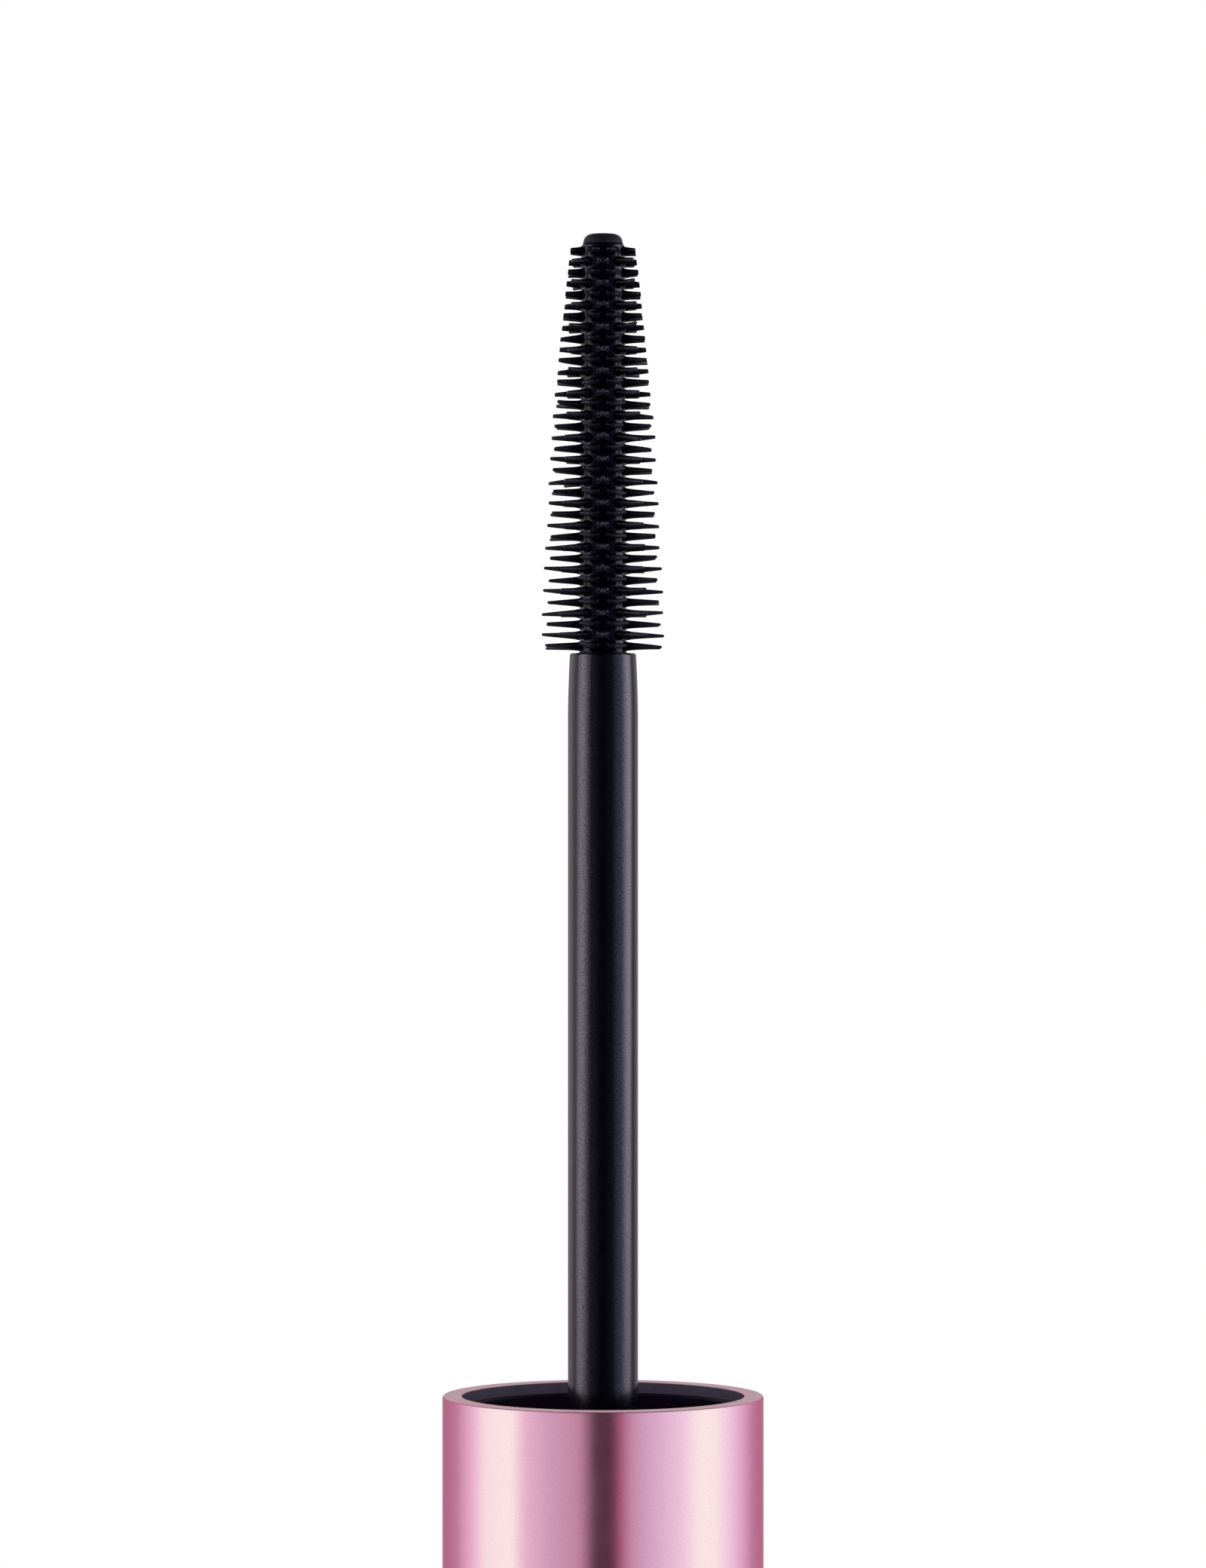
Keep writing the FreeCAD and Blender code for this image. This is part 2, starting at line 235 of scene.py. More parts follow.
def smooth_step(value):
    """0 below 0, 1 above 1, and a smooth rise between."""
    value = min(max(value, 0.0), 1.0)
    return value * value * (3 - 2 * value)


def rounded(corners, steps=8):
    """An outline of (radius, height) points from corners of (radius, height, rounding)."""
    outline = []
    for index, (radius, height, rounding) in enumerate(corners):
        if not rounding:
            outline.append((radius, height))
            continue
        before = corners[index - 1]
        after = corners[(index + 1) % len(corners)]
        to_before = unit(before[0] - radius, before[1] - height)
        to_after = unit(after[0] - radius, after[1] - height)
        cosine = to_before[0] * to_after[0] + to_before[1] * to_after[1]
        half = math.acos(max(-1.0, min(1.0, cosine))) / 2
        reach = rounding / math.tan(half)
        middle = unit(to_before[0] + to_after[0], to_before[1] + to_after[1])
        centre = (
            radius + middle[0] * rounding / math.sin(half),
            height + middle[1] * rounding / math.sin(half),
        )
        start, end = (
            math.atan2(
                height + leg[1] * reach - centre[1], radius + leg[0] * reach - centre[0],
            )
            for leg in (to_before, to_after)
        )
        sweep = (end - start + math.pi) % (2 * math.pi) - math.pi
        for step in range(steps + 1):
            angle = start + sweep * step / steps
            outline.append((
                centre[0] + rounding * math.cos(angle), centre[1] + rounding * math.sin(angle),
            ))
    return outline


def unit(across, up):
    """The direction of a vector in the plane, at length 1."""
    length = math.hypot(across, up)
    return across / length, up / length


def finish_mesh(name, bm, sharp_degrees=40):
    """Makes an object from a bmesh, smooth except over edges sharper than that."""
    bmesh.ops.recalc_face_normals(bm, faces=bm.faces)
    mesh = bpy.data.meshes.new(name)
    bm.to_mesh(mesh)
    bm.free()
    mesh.polygons.foreach_set("use_smooth", [True] * len(mesh.polygons))
    mesh.set_sharp_from_angle(angle=math.radians(sharp_degrees))
    piece = bpy.data.objects.new(name, mesh)
    bpy.context.scene.collection.objects.link(piece)
    return piece


def bridge(bm, lower, upper, slot=0):
    """Faces between two rings of as many vertices, or between a ring and one vertex."""
    count = max(len(lower), len(upper))
    for step in range(count):
        after = (step + 1) % count
        corners = [lower[step % len(lower)]]
        if len(lower) > 1:
            corners.append(lower[after])
        if len(upper) > 1:
            corners.append(upper[after])
        corners.append(upper[step % len(upper)])
        bm.faces.new(corners).material_index = slot


def lathe(name, outline, closed=False, shift=None, slot_of=None):
    """Turns an outline about Z. It ends on the axis, or is closed into a ring.

    shift(bearing, radius, height) adds to the radius, and slot_of(radius, height) gives the
    material slot of the faces about that point.
    """
    bm = bmesh.new()
    rings = []
    for radius, height in outline:
        if radius < 0.001 * MM:
            rings.append([bm.verts.new((0, 0, height))])
            continue
        ring = []
        for step in range(SEGMENTS):
            bearing = 2 * math.pi * step / SEGMENTS
            reach = radius + (shift(bearing, radius, height) if shift else 0)
            ring.append(bm.verts.new((reach * math.cos(bearing), reach * math.sin(bearing), height)))
        rings.append(ring)
    last = len(rings) if closed else len(rings) - 1
    for index in range(last):
        after = (index + 1) % len(rings)
        radius = (outline[index][0] + outline[after][0]) / 2
        height = (outline[index][1] + outline[after][1]) / 2
        slot = slot_of(radius, height) if slot_of else 0
        bridge(bm, rings[index], rings[after], slot)
    return finish_mesh(name, bm)


def settle(piece, node, slot, *materials):
    """Gives a piece its materials and its body, and hides the CAD node that it stands for. The slot
    is not used.
    """
    for each in materials:
        piece.data.materials.append(each)
    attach(piece, "root")
    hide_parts(node)


# ---------------------------------------------------------------- materials

def new_material(name, colour, roughness, metallic=0.0, specular=0.5, gloss=(1, 1, 1)):
    """A Principled material with these plain values, and its tree and shader."""
    made = bpy.data.materials.new(name)
    made.use_nodes = True
    tree = made.node_tree
    shader = tree.nodes["Principled BSDF"]
    shader.inputs["Base Color"].default_value = (*colour, 1)
    shader.inputs["Roughness"].default_value = roughness
    shader.inputs["Metallic"].default_value = metallic
    shader.inputs["Specular IOR Level"].default_value = specular
    shader.inputs["Specular Tint"].default_value = (*gloss, 1)
    return made, tree, shader


def coordinates(tree, stretch=(1, 1, 1)):
    """Object coordinates in millimetres, stretched along the axes."""
    source = tree.nodes.new("ShaderNodeTexCoord")
    mapping = tree.nodes.new("ShaderNodeMapping")
    mapping.inputs["Scale"].default_value = [factor / MM for factor in stretch]
    tree.links.new(source.outputs["Object"], mapping.inputs["Vector"])
    return mapping.outputs["Vector"]


def noise(tree, vector, per_mm, detail=3.0, rough=0.5):
    """Noise with about this many grains to the millimetre, from 0 to 1."""
    node = tree.nodes.new("ShaderNodeTexNoise")
    node.inputs["Scale"].default_value = per_mm
    node.inputs["Detail"].default_value = detail
    node.inputs["Roughness"].default_value = rough
    tree.links.new(vector, node.inputs["Vector"])
    return node.outputs["Fac"]


def spread(tree, value, low, high, to_low, to_high):
    """Maps a value's range onto another, clamped."""
    node = tree.nodes.new("ShaderNodeMapRange")
    node.inputs["From Min"].default_value = low
    node.inputs["From Max"].default_value = high
    node.inputs["To Min"].default_value = to_low
    node.inputs["To Max"].default_value = to_high
    tree.links.new(value, node.inputs["Value"])
    return node.outputs["Result"]


def math_node(tree, operation, *values):
    """A math node on these values, each a number or another node's output."""
    node = tree.nodes.new("ShaderNodeMath")
    node.operation = operation
    for value, socket in zip(values, node.inputs):
        if isinstance(value, bpy.types.NodeSocket):
            tree.links.new(value, socket)
        else:
            socket.default_value = value
    return node.outputs[0]


def tint(tree, shader, value, dark, light, socket="Base Color"):
    """Drives one of the shader's colours between two colours."""
    node = tree.nodes.new("ShaderNodeMix")
    node.data_type = "RGBA"
    node.inputs["A"].default_value = (*dark, 1)
    node.inputs["B"].default_value = (*light, 1)
    tree.links.new(value, node.inputs["Factor"])
    tree.links.new(node.outputs["Result"], shader.inputs[socket])


def raise_surface(tree, shader, layers):
    """Bump from layers of (height value, height in millimetres), one on the next."""
    normal = None
    for value, height in layers:
        node = tree.nodes.new("ShaderNodeBump")
        node.inputs["Distance"].default_value = height * MM
        tree.links.new(value, node.inputs["Height"])
        if normal:
            tree.links.new(normal, node.inputs["Normal"])
        normal = node.outputs["Normal"]
    tree.links.new(normal, shader.inputs["Normal"])


def cap_lacquer():
    """Pink metallised lacquer: a satin metal with fine flake and a faint orange peel."""
    made, tree, shader = new_material(
        "pink_metallised_lacquer", (0.8, 0.47, 0.62), 0.17, 1.0, gloss=(0.9, 0.5, 0.64),
    )
    vector = coordinates(tree)
    flake = noise(tree, vector, 14, 2)
    tint(tree, shader, spread(tree, flake, 0.3, 0.7, 0, 1), (0.76, 0.44, 0.585), (0.84, 0.5, 0.655))
    cloud = noise(tree, vector, 0.6, 3)
    tree.links.new(spread(tree, cloud, 0.3, 0.7, 0.16, 0.19), shader.inputs["Roughness"])
    raise_surface(tree, shader, [(flake, 0.0006), (noise(tree, vector, 1.2, 2), 0.0012)])
    return made


def moulded_black(name, dark, light, roughness, specular, gloss, grain):
    """Black moulded plastic: slightly mottled, with a spark-eroded grain of fine duller specks."""
    made, tree, shader = new_material(name, dark, roughness, specular=specular, gloss=gloss)
    vector = coordinates(tree)
    mottle = noise(tree, vector, 2.2, 4, 0.6)
    tint(tree, shader, spread(tree, mottle, 0.3, 0.7, 0, 1), dark, light)
    wear = spread(tree, noise(tree, vector, 5.0, 3), 0.3, 0.7, roughness - 0.03, roughness + 0.04)
    tree.links.new(wear, shader.inputs["Roughness"])
    fine = noise(tree, vector, 12, 2)
    specks = spread(tree, fine, 0.35, 0.65, 0, 1)
    tint(tree, shader, specks, [GRAIN_SHADE * part for part in gloss], gloss, "Specular Tint")
    raise_surface(tree, shader, [(fine, grain), (noise(tree, vector, 1.0, 2), 0.002)])
    return made


def dull_lacquer():
    """The lacquer on the rim's face: a dry dusty pink over the rough edge of the moulding."""
    made, tree, shader = new_material("rim_dull_lacquer", (0.5, 0.29, 0.36), 0.45)
    vector = coordinates(tree)
    speck = noise(tree, vector, 7, 3)
    tint(tree, shader, spread(tree, speck, 0.3, 0.7, 0, 1), (0.55, 0.345, 0.40), (0.70, 0.45, 0.525))
    tree.links.new(spread(tree, speck, 0.3, 0.7, 0.4, 0.52), shader.inputs["Roughness"])
    raise_surface(tree, shader, [(speck, 0.004)])
    return made


def sleeve_elastomer():
    """Matt elastomer on the bristles and a smoother sleeve between them, with painted shade near the
    core: towards the axis the colour deepens and the gloss fades.
    """
    made, tree, shader = new_material(
        "bristle_elastomer_black", (0.006, 0.005, 0.01), 0.45, specular=0.08,
    )
    vector = coordinates(tree)
    flat = tree.nodes.new("ShaderNodeVectorMath")
    flat.operation = "MULTIPLY"
    flat.inputs[1].default_value = (1, 1, 0)
    tree.links.new(vector, flat.inputs[0])
    reach = tree.nodes.new("ShaderNodeVectorMath")
    reach.operation = "LENGTH"
    tree.links.new(flat.outputs["Vector"], reach.inputs[0])
    # Painted shade: the colour and the gloss deepen towards the axis, standing in for the shade that
    # the bristles cast on the sleeve and their roots
    painted_core_shade = spread(tree, reach.outputs["Value"], PAINTED_SHADE_FULL, PAINTED_SHADE_END, PAINTED_SHADE_DEPTH, 0)
    fine = noise(tree, vector, 12, 2)
    # The painted shade, plus random specks of grain, drives the colour and the gloss below
    share = math_node(tree, "ADD", painted_core_shade, spread(tree, fine, 0.35, 0.65, 0, 0.8))
    tint(tree, shader, share, (0.0060, 0.0050, 0.0084), (0.0002, 0.0002, 0.0007))
    tint(tree, shader, share, (0.95, 0.89, 1.00), (0.03, 0.035, 0.07), "Specular Tint")
    tree.links.new(spread(tree, painted_core_shade, 0, PAINTED_SHADE_DEPTH, 0.5, 0.24), shader.inputs["Roughness"])
    raise_surface(tree, shader, [(fine, 0.0016), (noise(tree, vector, 3.0, 2), 0.003)])
    return made


def foam():
    """Closed-cell foam of the washer, off-white with small pores."""
    made, tree, shader = new_material("closed_cell_foam", (0.7, 0.69, 0.66), 0.75)
    vector = coordinates(tree)
    cells = tree.nodes.new("ShaderNodeTexVoronoi")
    cells.inputs["Scale"].default_value = 6
    tree.links.new(vector, cells.inputs["Vector"])
    tint(
        tree, shader, spread(tree, cells.outputs["Distance"], 0, 0.8, 0, 1),
        (0.58, 0.57, 0.54), (0.74, 0.73, 0.7),
    )
    raise_surface(tree, shader, [(cells.outputs["Distance"], 0.02)])
    return made


def turned_steel():
    """Steel of the weight, with fine turning marks round it."""
    made, tree, shader = new_material("turned_steel", (0.52, 0.52, 0.53), 0.35, 1.0)
    marks = noise(tree, coordinates(tree, (0.3, 0.3, 8)), 1.5, 4)
    tint(tree, shader, spread(tree, marks, 0.3, 0.7, 0, 1), (0.46, 0.46, 0.47), (0.58, 0.58, 0.59))
    tree.links.new(spread(tree, marks, 0.3, 0.7, 0.28, 0.42), shader.inputs["Roughness"])
    raise_surface(tree, shader, [(marks, 0.004)])
    return made


# ---------------------------------------------------------------- pieces

def make_cap(lacquer, wall_black, rim_lacquer):
    """The outer cap: bright lacquer outside, dull on the rim's face, bare plastic inside."""
    groove = CAP_BORE + GROOVE_DEPTH
    outline = rounded([
        (0, 0, 0),
        (CAP_RADIUS, 0, CAP_END_ROUNDING),
        (CAP_RADIUS, RIM, RIM_ROUNDING),
        (CAP_BORE, RIM, RIM_INNER_ROUNDING),
        (CAP_BORE, SNAP_LEVEL + GROOVE_HALF, 0),
        (groove, SNAP_LEVEL + GROOVE_HALF / 2, 0),
        (groove, SNAP_LEVEL - GROOVE_HALF / 2, 0),
        (CAP_BORE, SNAP_LEVEL - GROOVE_HALF, 0),
        (CAP_BORE, CAP_END, CAP_END_FILLET),
        (0, CAP_END, 0),
    ])

    def finish_of(radius, height):
        if height > RIM - 0.02 * MM:
            return RIM_FACE
        inside = radius < groove + 0.05 * MM and height > CAP_END / 2
        return BARE_WALL if inside and height < RIM - 0.04 * MM else LACQUER

    cap = lathe("outer_cap_shell", outline, slot_of=finish_of)
    settle(cap, "outer_cap", "cap_metallised", lacquer, wall_black, rim_lacquer)


def thread_ridge(bearing, radius, height):
    """How far the thread's ridge brings the liner's wall in at this place, as a negative length."""
    on_wall = radius < THREAD_ROOT + 0.01 * MM and height > FLOOR_LEVEL + 1 * MM
    if not on_wall:
        return 0
    top = LINER_TOP.z - THREAD_TOP_DROP
    start = top - THREAD_PITCH * THREAD_TURNS
    turn = (bearing - THREAD_BEARING) / (2 * math.pi) % 1
    deepest = 0
    for whole in range(2):
        along = turn + whole
        if along > THREAD_TURNS:
            continue
        away = abs(height - start - THREAD_PITCH * along)
        rise = smooth_step((THREAD_FOOT / 2 - away) / ((THREAD_FOOT - THREAD_CREST) / 2))
        ends = smooth_step(min(along, THREAD_TURNS - along) / THREAD_FADE)
        deepest = max(deepest, rise * ends)
    return -THREAD_DEPTH * deepest


def make_liner(plastic):
    """The inner cap: flange, skirt, threaded wall, floor and the socket below it."""
    top = LINER_TOP.z
    chamfer_foot = top - MOUTH_DEPTH - (MOUTH_RADIUS - THREAD_ROOT)
    socket_end = FLOOR_LEVEL - SOCKET_DEPTH
    hole = PLUG_RADIUS + FIT
    bead = CAP_BORE + GROOVE_DEPTH - FIT
    outside = rounded([
        (THREAD_ROOT, LINER_FOOT.z, 0),
        (LINER_SKIRT, LINER_FOOT.z, SMALL_ROUNDING),
        (LINER_SKIRT, SNAP_LEVEL - BEAD_HALF, 0),
        (bead, SNAP_LEVEL - BEAD_HALF / 2, 0),
        (bead, SNAP_LEVEL + BEAD_HALF / 2, 0),
        (LINER_SKIRT, SNAP_LEVEL + BEAD_HALF, 0),
        (LINER_SKIRT, top - FLANGE_HEIGHT, 0),
        (LINER_FLANGE, top - FLANGE_HEIGHT, 0),
        (LINER_FLANGE, top, FLANGE_ROUNDING),
        (MOUTH_RADIUS, top, MOUTH_ROUNDING),
        (MOUTH_RADIUS, top - MOUTH_DEPTH, 0),
        (THREAD_ROOT, chamfer_foot, 0),
    ])
    wall_foot = FLOOR_LEVEL + WALL_FOOT
    wall = [
        (THREAD_ROOT, chamfer_foot + (wall_foot - chamfer_foot) * row / WALL_ROWS)
        for row in range(1, WALL_ROWS + 1)
    ]
    below = rounded([
        (THREAD_ROOT, wall_foot, 0),
        (THREAD_ROOT, FLOOR_LEVEL, FILLET),
        (hole, FLOOR_LEVEL, 0),
        (hole, socket_end, 0),
        (SOCKET_RADIUS, socket_end, ROUNDING),
        (SOCKET_RADIUS, FLOOR_LEVEL - LINER_FLOOR, ROUNDING),
        (THREAD_ROOT, FLOOR_LEVEL - LINER_FLOOR, FILLET),
    ])[1:]
    liner = lathe("inner_cap_liner", outside + wall + below, closed=True, shift=thread_ridge)
    settle(liner, "inner_cap", "liner_plastic", plastic)


def make_seal(material):
    """The washer on the liner's floor."""
    outline = rounded([
        (SEAL_BORE, SEAL_FOOT.z, SEAL_FOOT_ROUNDING),
        (SEAL_TOP.x, SEAL_FOOT.z, SEAL_FOOT_ROUNDING),
        (SEAL_TOP.x, SEAL_TOP.z, SEAL_TOP_ROUNDING),
        (SEAL_BORE, SEAL_TOP.z, SEAL_TOP_ROUNDING),
    ], 5)
    seal = lathe("neck_seal_washer", outline, closed=True)
    settle(seal, "neck_seal", "seal_foam", material)


def make_stem(plastic):
    """The stem: barbed plug, collar, and a rod that narrows in a soft curve to its bored end."""
    grip = FLOOR_LEVEL - SOCKET_DEPTH - FIT
    collar = STEM_TOP.x
    taper_foot = STEM_TOP.z - STEM_TAPER
    bore = SHANK_RADIUS + FIT
    lower = rounded([
        (0, STEM_FOOT.z, 0),
        (BARB_NOSE, STEM_FOOT.z, SMALL_ROUNDING),
        (BARB_RADIUS, grip, SMALL_ROUNDING),
        (PLUG_RADIUS, grip, 0),
        (PLUG_RADIUS, FLOOR_LEVEL, 0),
        (collar, FLOOR_LEVEL, SMALL_ROUNDING),
        (collar, FLOOR_LEVEL + COLLAR_HEIGHT, ROUNDING),
        (STEM_RADIUS, FLOOR_LEVEL + COLLAR_HEIGHT, FILLET),
        (STEM_RADIUS, taper_foot, 0),
    ])
    narrowing = STEM_RADIUS - STEM_TIP_RADIUS
    taper = []
    for step in range(1, TAPER_STEPS):
        along = step / TAPER_STEPS
        radius = STEM_RADIUS - narrowing * along ** TAPER_CURVE
        taper.append((radius, taper_foot + STEM_TAPER * along))
    upper = rounded([
        taper[-1] + (0,),
        (STEM_TIP_RADIUS, STEM_TOP.z, STEM_TIP_ROUNDING),
        (bore, STEM_TOP.z, BORE_ROUNDING),
        (bore, STEM_TOP.z - SHANK_DEPTH, 0),
        (0, STEM_TOP.z - SHANK_DEPTH, 0),
    ])[1:]
    stem = lathe("stem_rod", lower + taper + upper)
    settle(stem, "stem", "stem_plastic", plastic)
    return stem


def make_core(plastic):
    """The brush's pin, with its shank and the round button that closes the tip."""
    shelf = SLEEVE_TOP.z
    outline = rounded([
        (0, CORE_FOOT.z, 0),
        (SHANK_RADIUS - SHANK_CHAMFER, CORE_FOOT.z, 0),
        (SHANK_RADIUS, CORE_FOOT.z + SHANK_CHAMFER, 0),
        (SHANK_RADIUS, STEM_TOP.z, 0),
        (PIN_RADIUS, STEM_TOP.z, 0),
        (PIN_RADIUS, shelf, 0),
        (BUTTON_RADIUS - 0.05 * MM, shelf, 0),
        (BUTTON_RADIUS, shelf + 0.02 * MM, 0),
        (BUTTON_RADIUS, shelf + 0.05 * MM, 0),
        (BUTTON_RADIUS - 0.03 * MM, shelf + 0.07 * MM, 0),
        (BUTTON_RADIUS - 0.04 * MM, CORE_TOP.z - BUTTON_CROWN, BUTTON_ROUNDING),
        (0, CORE_TOP.z, 0),
    ])
    core = lathe("brush_core_pin", outline)
    settle(core, "brush_core", "core_plastic", plastic)


def sleeve_radius(height):
    """The sleeve narrows evenly from its foot to the tip."""
    along = (height - SLEEVE_FOOT.z) / (SLEEVE_TOP.z - SLEEVE_FOOT.z)
    return SLEEVE_FOOT_RADIUS + (SLEEVE_TIP_RADIUS - SLEEVE_FOOT_RADIUS) * along


def bristle_reach(along_brush, bearing):
    """The full and the trimmed reach of a bristle: a tapering brush, trimmed on four sides."""
    full = REACH_AT_TIP + (REACH_AT_FOOT - REACH_AT_TIP) * along_brush
    side = TRIM_AT_TIP + TRIM_SLOPE * along_brush * (RING_COUNT - 1) * RING_PITCH
    trimmed = side / max(abs(math.cos(bearing)), abs(math.sin(bearing)))
    return full, min(full, trimmed)


def on_sleeve(bearing, height, proud=0.0):
    """A point on the sleeve's surface, or this far proud of it."""
    reach = sleeve_radius(height) + proud
    return reach * math.cos(bearing), reach * math.sin(bearing), height


def grow_bristle(bm, edge, edge_places, bearing, height, along_brush, rng):
    """One bristle on the cell whose edge vertices are given: a flared root, a taper and an end.

    A bristle of full reach has a rounded tip. One that the trim shortens is cut off flat.
    """
    full, reach = bristle_reach(along_brush, bearing)
    play = 1 - LENGTH_PLAY * rng.random() ** 2
    foot = sleeve_radius(height)
    wide = BRISTLE_FOOT_RADIUS * rng.uniform(1 - WIDTH_PLAY, 1 + WIDTH_PLAY)
    narrow = TIP_RING_END_RADIUS + (BRISTLE_END_RADIUS - TIP_RING_END_RADIUS) * along_brush
    lean = [rng.gauss(0, LEAN_PLAY) for _ in range(2)]
    bend = [rng.gauss(0, BEND_PLAY) for _ in range(2)]
    outward = (math.cos(bearing), math.sin(bearing))
    aside = (-math.sin(bearing), math.cos(bearing))
    turns = [2 * math.pi * (step - HALF_CELL) / LOOP - math.pi / 2 for step in range(LOOP)]
    trimmed = reach < full
    reach *= play

    def thickness(out):
        flare = ROOT_FLARE * math.exp(-(out - foot) / ROOT_FADE)
        return wide + (narrow - wide) * (out - foot) / (full - foot) + flare

    def point(out, turn, thick):
        along = (out - foot) / (full - foot)
        across = lean[0] * along + bend[0] * along ** 2 + thick * math.cos(turn)
        up = lean[1] * along + bend[1] * along ** 2 + thick * math.sin(turn)
        return out, across, up

    def cut_point(turn, thick):
        """Where the flat cut of the trim meets the bristle's side."""
        out, across, up = point(reach, turn, thick)
        if abs(outward[0]) > abs(outward[1]):
            facing, skew = abs(outward[0]), math.copysign(1, outward[0]) * aside[0]
        else:
            facing, skew = abs(outward[1]), math.copysign(1, outward[1]) * aside[1]
        return out - (across * skew + TRIM_SLOPE * up) / facing, across, up

    def place(out, across, up):
        return bm.verts.new((
            outward[0] * out + aside[0] * across, outward[1] * out + aside[1] * across, height + up,
        ))

    loops = [edge]
    start = foot + SHAFT_START
    swell = thickness(start)
    for share, proud in ROOT_LOOPS:
        loop = []
        for turn, (edge_bearing, edge_height) in zip(turns, edge_places):
            to_bearing = bearing + math.asin(swell * math.cos(turn) / foot)
            to_height = height + swell * math.sin(turn)
            loop.append(bm.verts.new(on_sleeve(
                edge_bearing + (to_bearing - edge_bearing) * share,
                edge_height + (to_height - edge_height) * share,
                proud * MM,
            )))
        loops.append(loop)

    blunt = thickness(reach)
    nose = CUT_BEVEL if trimmed else min(blunt, TIP_ROUNDING)
    shaft_end = reach - nose - (CUT_ROOM if trimmed else 0)
    for step in range(SHAFT_STEPS + 1):
        out = start + (shaft_end - start) * (step / SHAFT_STEPS) ** SHAFT_CROWDING
        loops.append([place(*point(out, turn, thickness(out))) for turn in turns])
    if trimmed:
        for inset, back in ((0, CUT_BEVEL), (CUT_BEVEL, 0)):
            loop = []
            for turn in turns:
                out, across, up = cut_point(turn, blunt - inset)
                loop.append(place(out - back, across, up))
            loops.append(loop)
    else:
        for degrees in TIP_DEGREES:
            lift = math.radians(degrees)
            out = reach - nose + nose * math.sin(lift)
            thick = blunt - nose * (1 - math.cos(lift))
            loops.append([place(*point(out, turn, thick)) for turn in turns])
    for lower, upper in zip(loops, loops[1:]):
        bridge(bm, lower, upper)
    bm.faces.new(loops[-1])


def row_of(bm, radius, height):
    """A ring of vertices in step with the rows between the bristles."""
    ring = []
    for step in range(AROUND):
        bearing = 2 * math.pi * step / AROUND
        ring.append(bm.verts.new((radius * math.cos(bearing), radius * math.sin(bearing), height)))
    return ring


def make_sleeve(elastomer):
    """The sleeve and all its bristles as one closed surface, each bristle grown from its own cell."""
    rng = random.Random(37)
    bm = bmesh.new()
    step_angle = 2 * math.pi / AROUND
    first = SLEEVE_TOP.z - FIRST_RING
    rows = [first + RING_PITCH / 2 - RING_PITCH * ring for ring in range(RING_COUNT + 1)]
    rows[-1] = max(rows[-1], SLEEVE_FOOT.z + HEM_HEIGHT)
    row_vertices = [row_of(bm, sleeve_radius(height), height) for height in rows]

    for ring in range(RING_COUNT):
        height = first - RING_PITCH * ring
        along_brush = ring / (RING_COUNT - 1)
        centres = [
            CELL_STEPS * place + (HALF_CELL if ring % 2 == 0 else 0)
            for place in range(BRISTLES_PER_RING)
        ]
        posts = [
            bm.verts.new(on_sleeve((centre + HALF_CELL) * step_angle, height)) for centre in centres
        ]
        for place, centre in enumerate(centres):
            edge, places = [], []
            for offset in range(-HALF_CELL, HALF_CELL + 1):
                edge.append(row_vertices[ring + 1][(centre + offset) % AROUND])
                places.append(((centre + offset) * step_angle, rows[ring + 1]))
            edge.append(posts[place])
            places.append(((centre + HALF_CELL) * step_angle, height))
            for offset in range(HALF_CELL, -HALF_CELL - 1, -1):
                edge.append(row_vertices[ring][(centre + offset) % AROUND])
                places.append(((centre + offset) * step_angle, rows[ring]))
            edge.append(posts[place - 1])
            places.append(((centre - HALF_CELL) * step_angle, height))
            grow_bristle(bm, edge, places, centre * step_angle, height, along_brush, rng)

    hole = PIN_RADIUS + FIT
    top, foot = SLEEVE_TOP.z, SLEEVE_FOOT.z
    tip_rows = [
        row_of(bm, SLEEVE_TIP_RADIUS - inward * MM, top - down * MM) for inward, down in TIP_EDGE
    ]
    bore_and_hem = [
        row_of(bm, hole, top),
        row_of(bm, hole, foot),
        row_of(bm, HEM_RADIUS, foot),
        row_of(bm, HEM_RADIUS, foot + HEM_HEIGHT / 2),
    ]
    chain = [row_vertices[0]] + tip_rows + bore_and_hem + [row_vertices[-1]]
    for lower, upper in zip(chain, chain[1:]):
        bridge(bm, lower, upper)
    sleeve = finish_mesh("bristle_sleeve_moulded", bm, 50)
    settle(sleeve, "bristle_sleeve", "bristle_elastomer", elastomer)
    return sleeve


# ---------------------------------------------------------------- studio

def studio_world():
    """White behind the object, soft studio surroundings in its gloss, and even light on it."""
    world = bpy.data.worlds.new("studio")
    bpy.context.scene.world = world
    world.use_nodes = True
    tree = world.node_tree
    tree.nodes.clear()
    direction = tree.nodes.new("ShaderNodeTexCoord")
    parts = tree.nodes.new("ShaderNodeSeparateXYZ")
    tree.links.new(direction.outputs["Generated"], parts.inputs["Vector"])
    back = math_node(tree, "MULTIPLY", parts.outputs["Y"], -1)
    bearing = math_node(tree, "ARCTAN2", parts.outputs["X"], back)
    share = math_node(tree, "MULTIPLY_ADD", bearing, 0.5 / math.pi, 0.5)
    ramp = tree.nodes.new("ShaderNodeValToRGB")
    tree.links.new(share, ramp.inputs["Fac"])
    fill_ramp(ramp.color_ramp)
    around = tree.nodes.new("ShaderNodeBackground")
    tree.links.new(ramp.outputs["Color"], around.inputs["Color"])
    ceiling = spread(tree, parts.outputs["Z"], 0.4, 0.8, 1, CEILING_BRIGHTNESS)
    tree.links.new(ceiling, around.inputs["Strength"])
    path = tree.nodes.new("ShaderNodeLightPath")
    seen = around.outputs["Background"]
    for ray, brightness in (("Is Diffuse Ray", DIFFUSE_BRIGHTNESS), ("Is Camera Ray", 1)):
        plain = tree.nodes.new("ShaderNodeBackground")
        plain.inputs["Color"].default_value = (brightness, brightness, brightness, 1)
        mix = tree.nodes.new("ShaderNodeMixShader")
        tree.links.new(path.outputs[ray], mix.inputs["Fac"])
        tree.links.new(seen, mix.inputs[1])
        tree.links.new(plain.outputs["Background"], mix.inputs[2])
        seen = mix.outputs["Shader"]
    output = tree.nodes.new("ShaderNodeOutputWorld")
    tree.links.new(seen, output.inputs["Surface"])


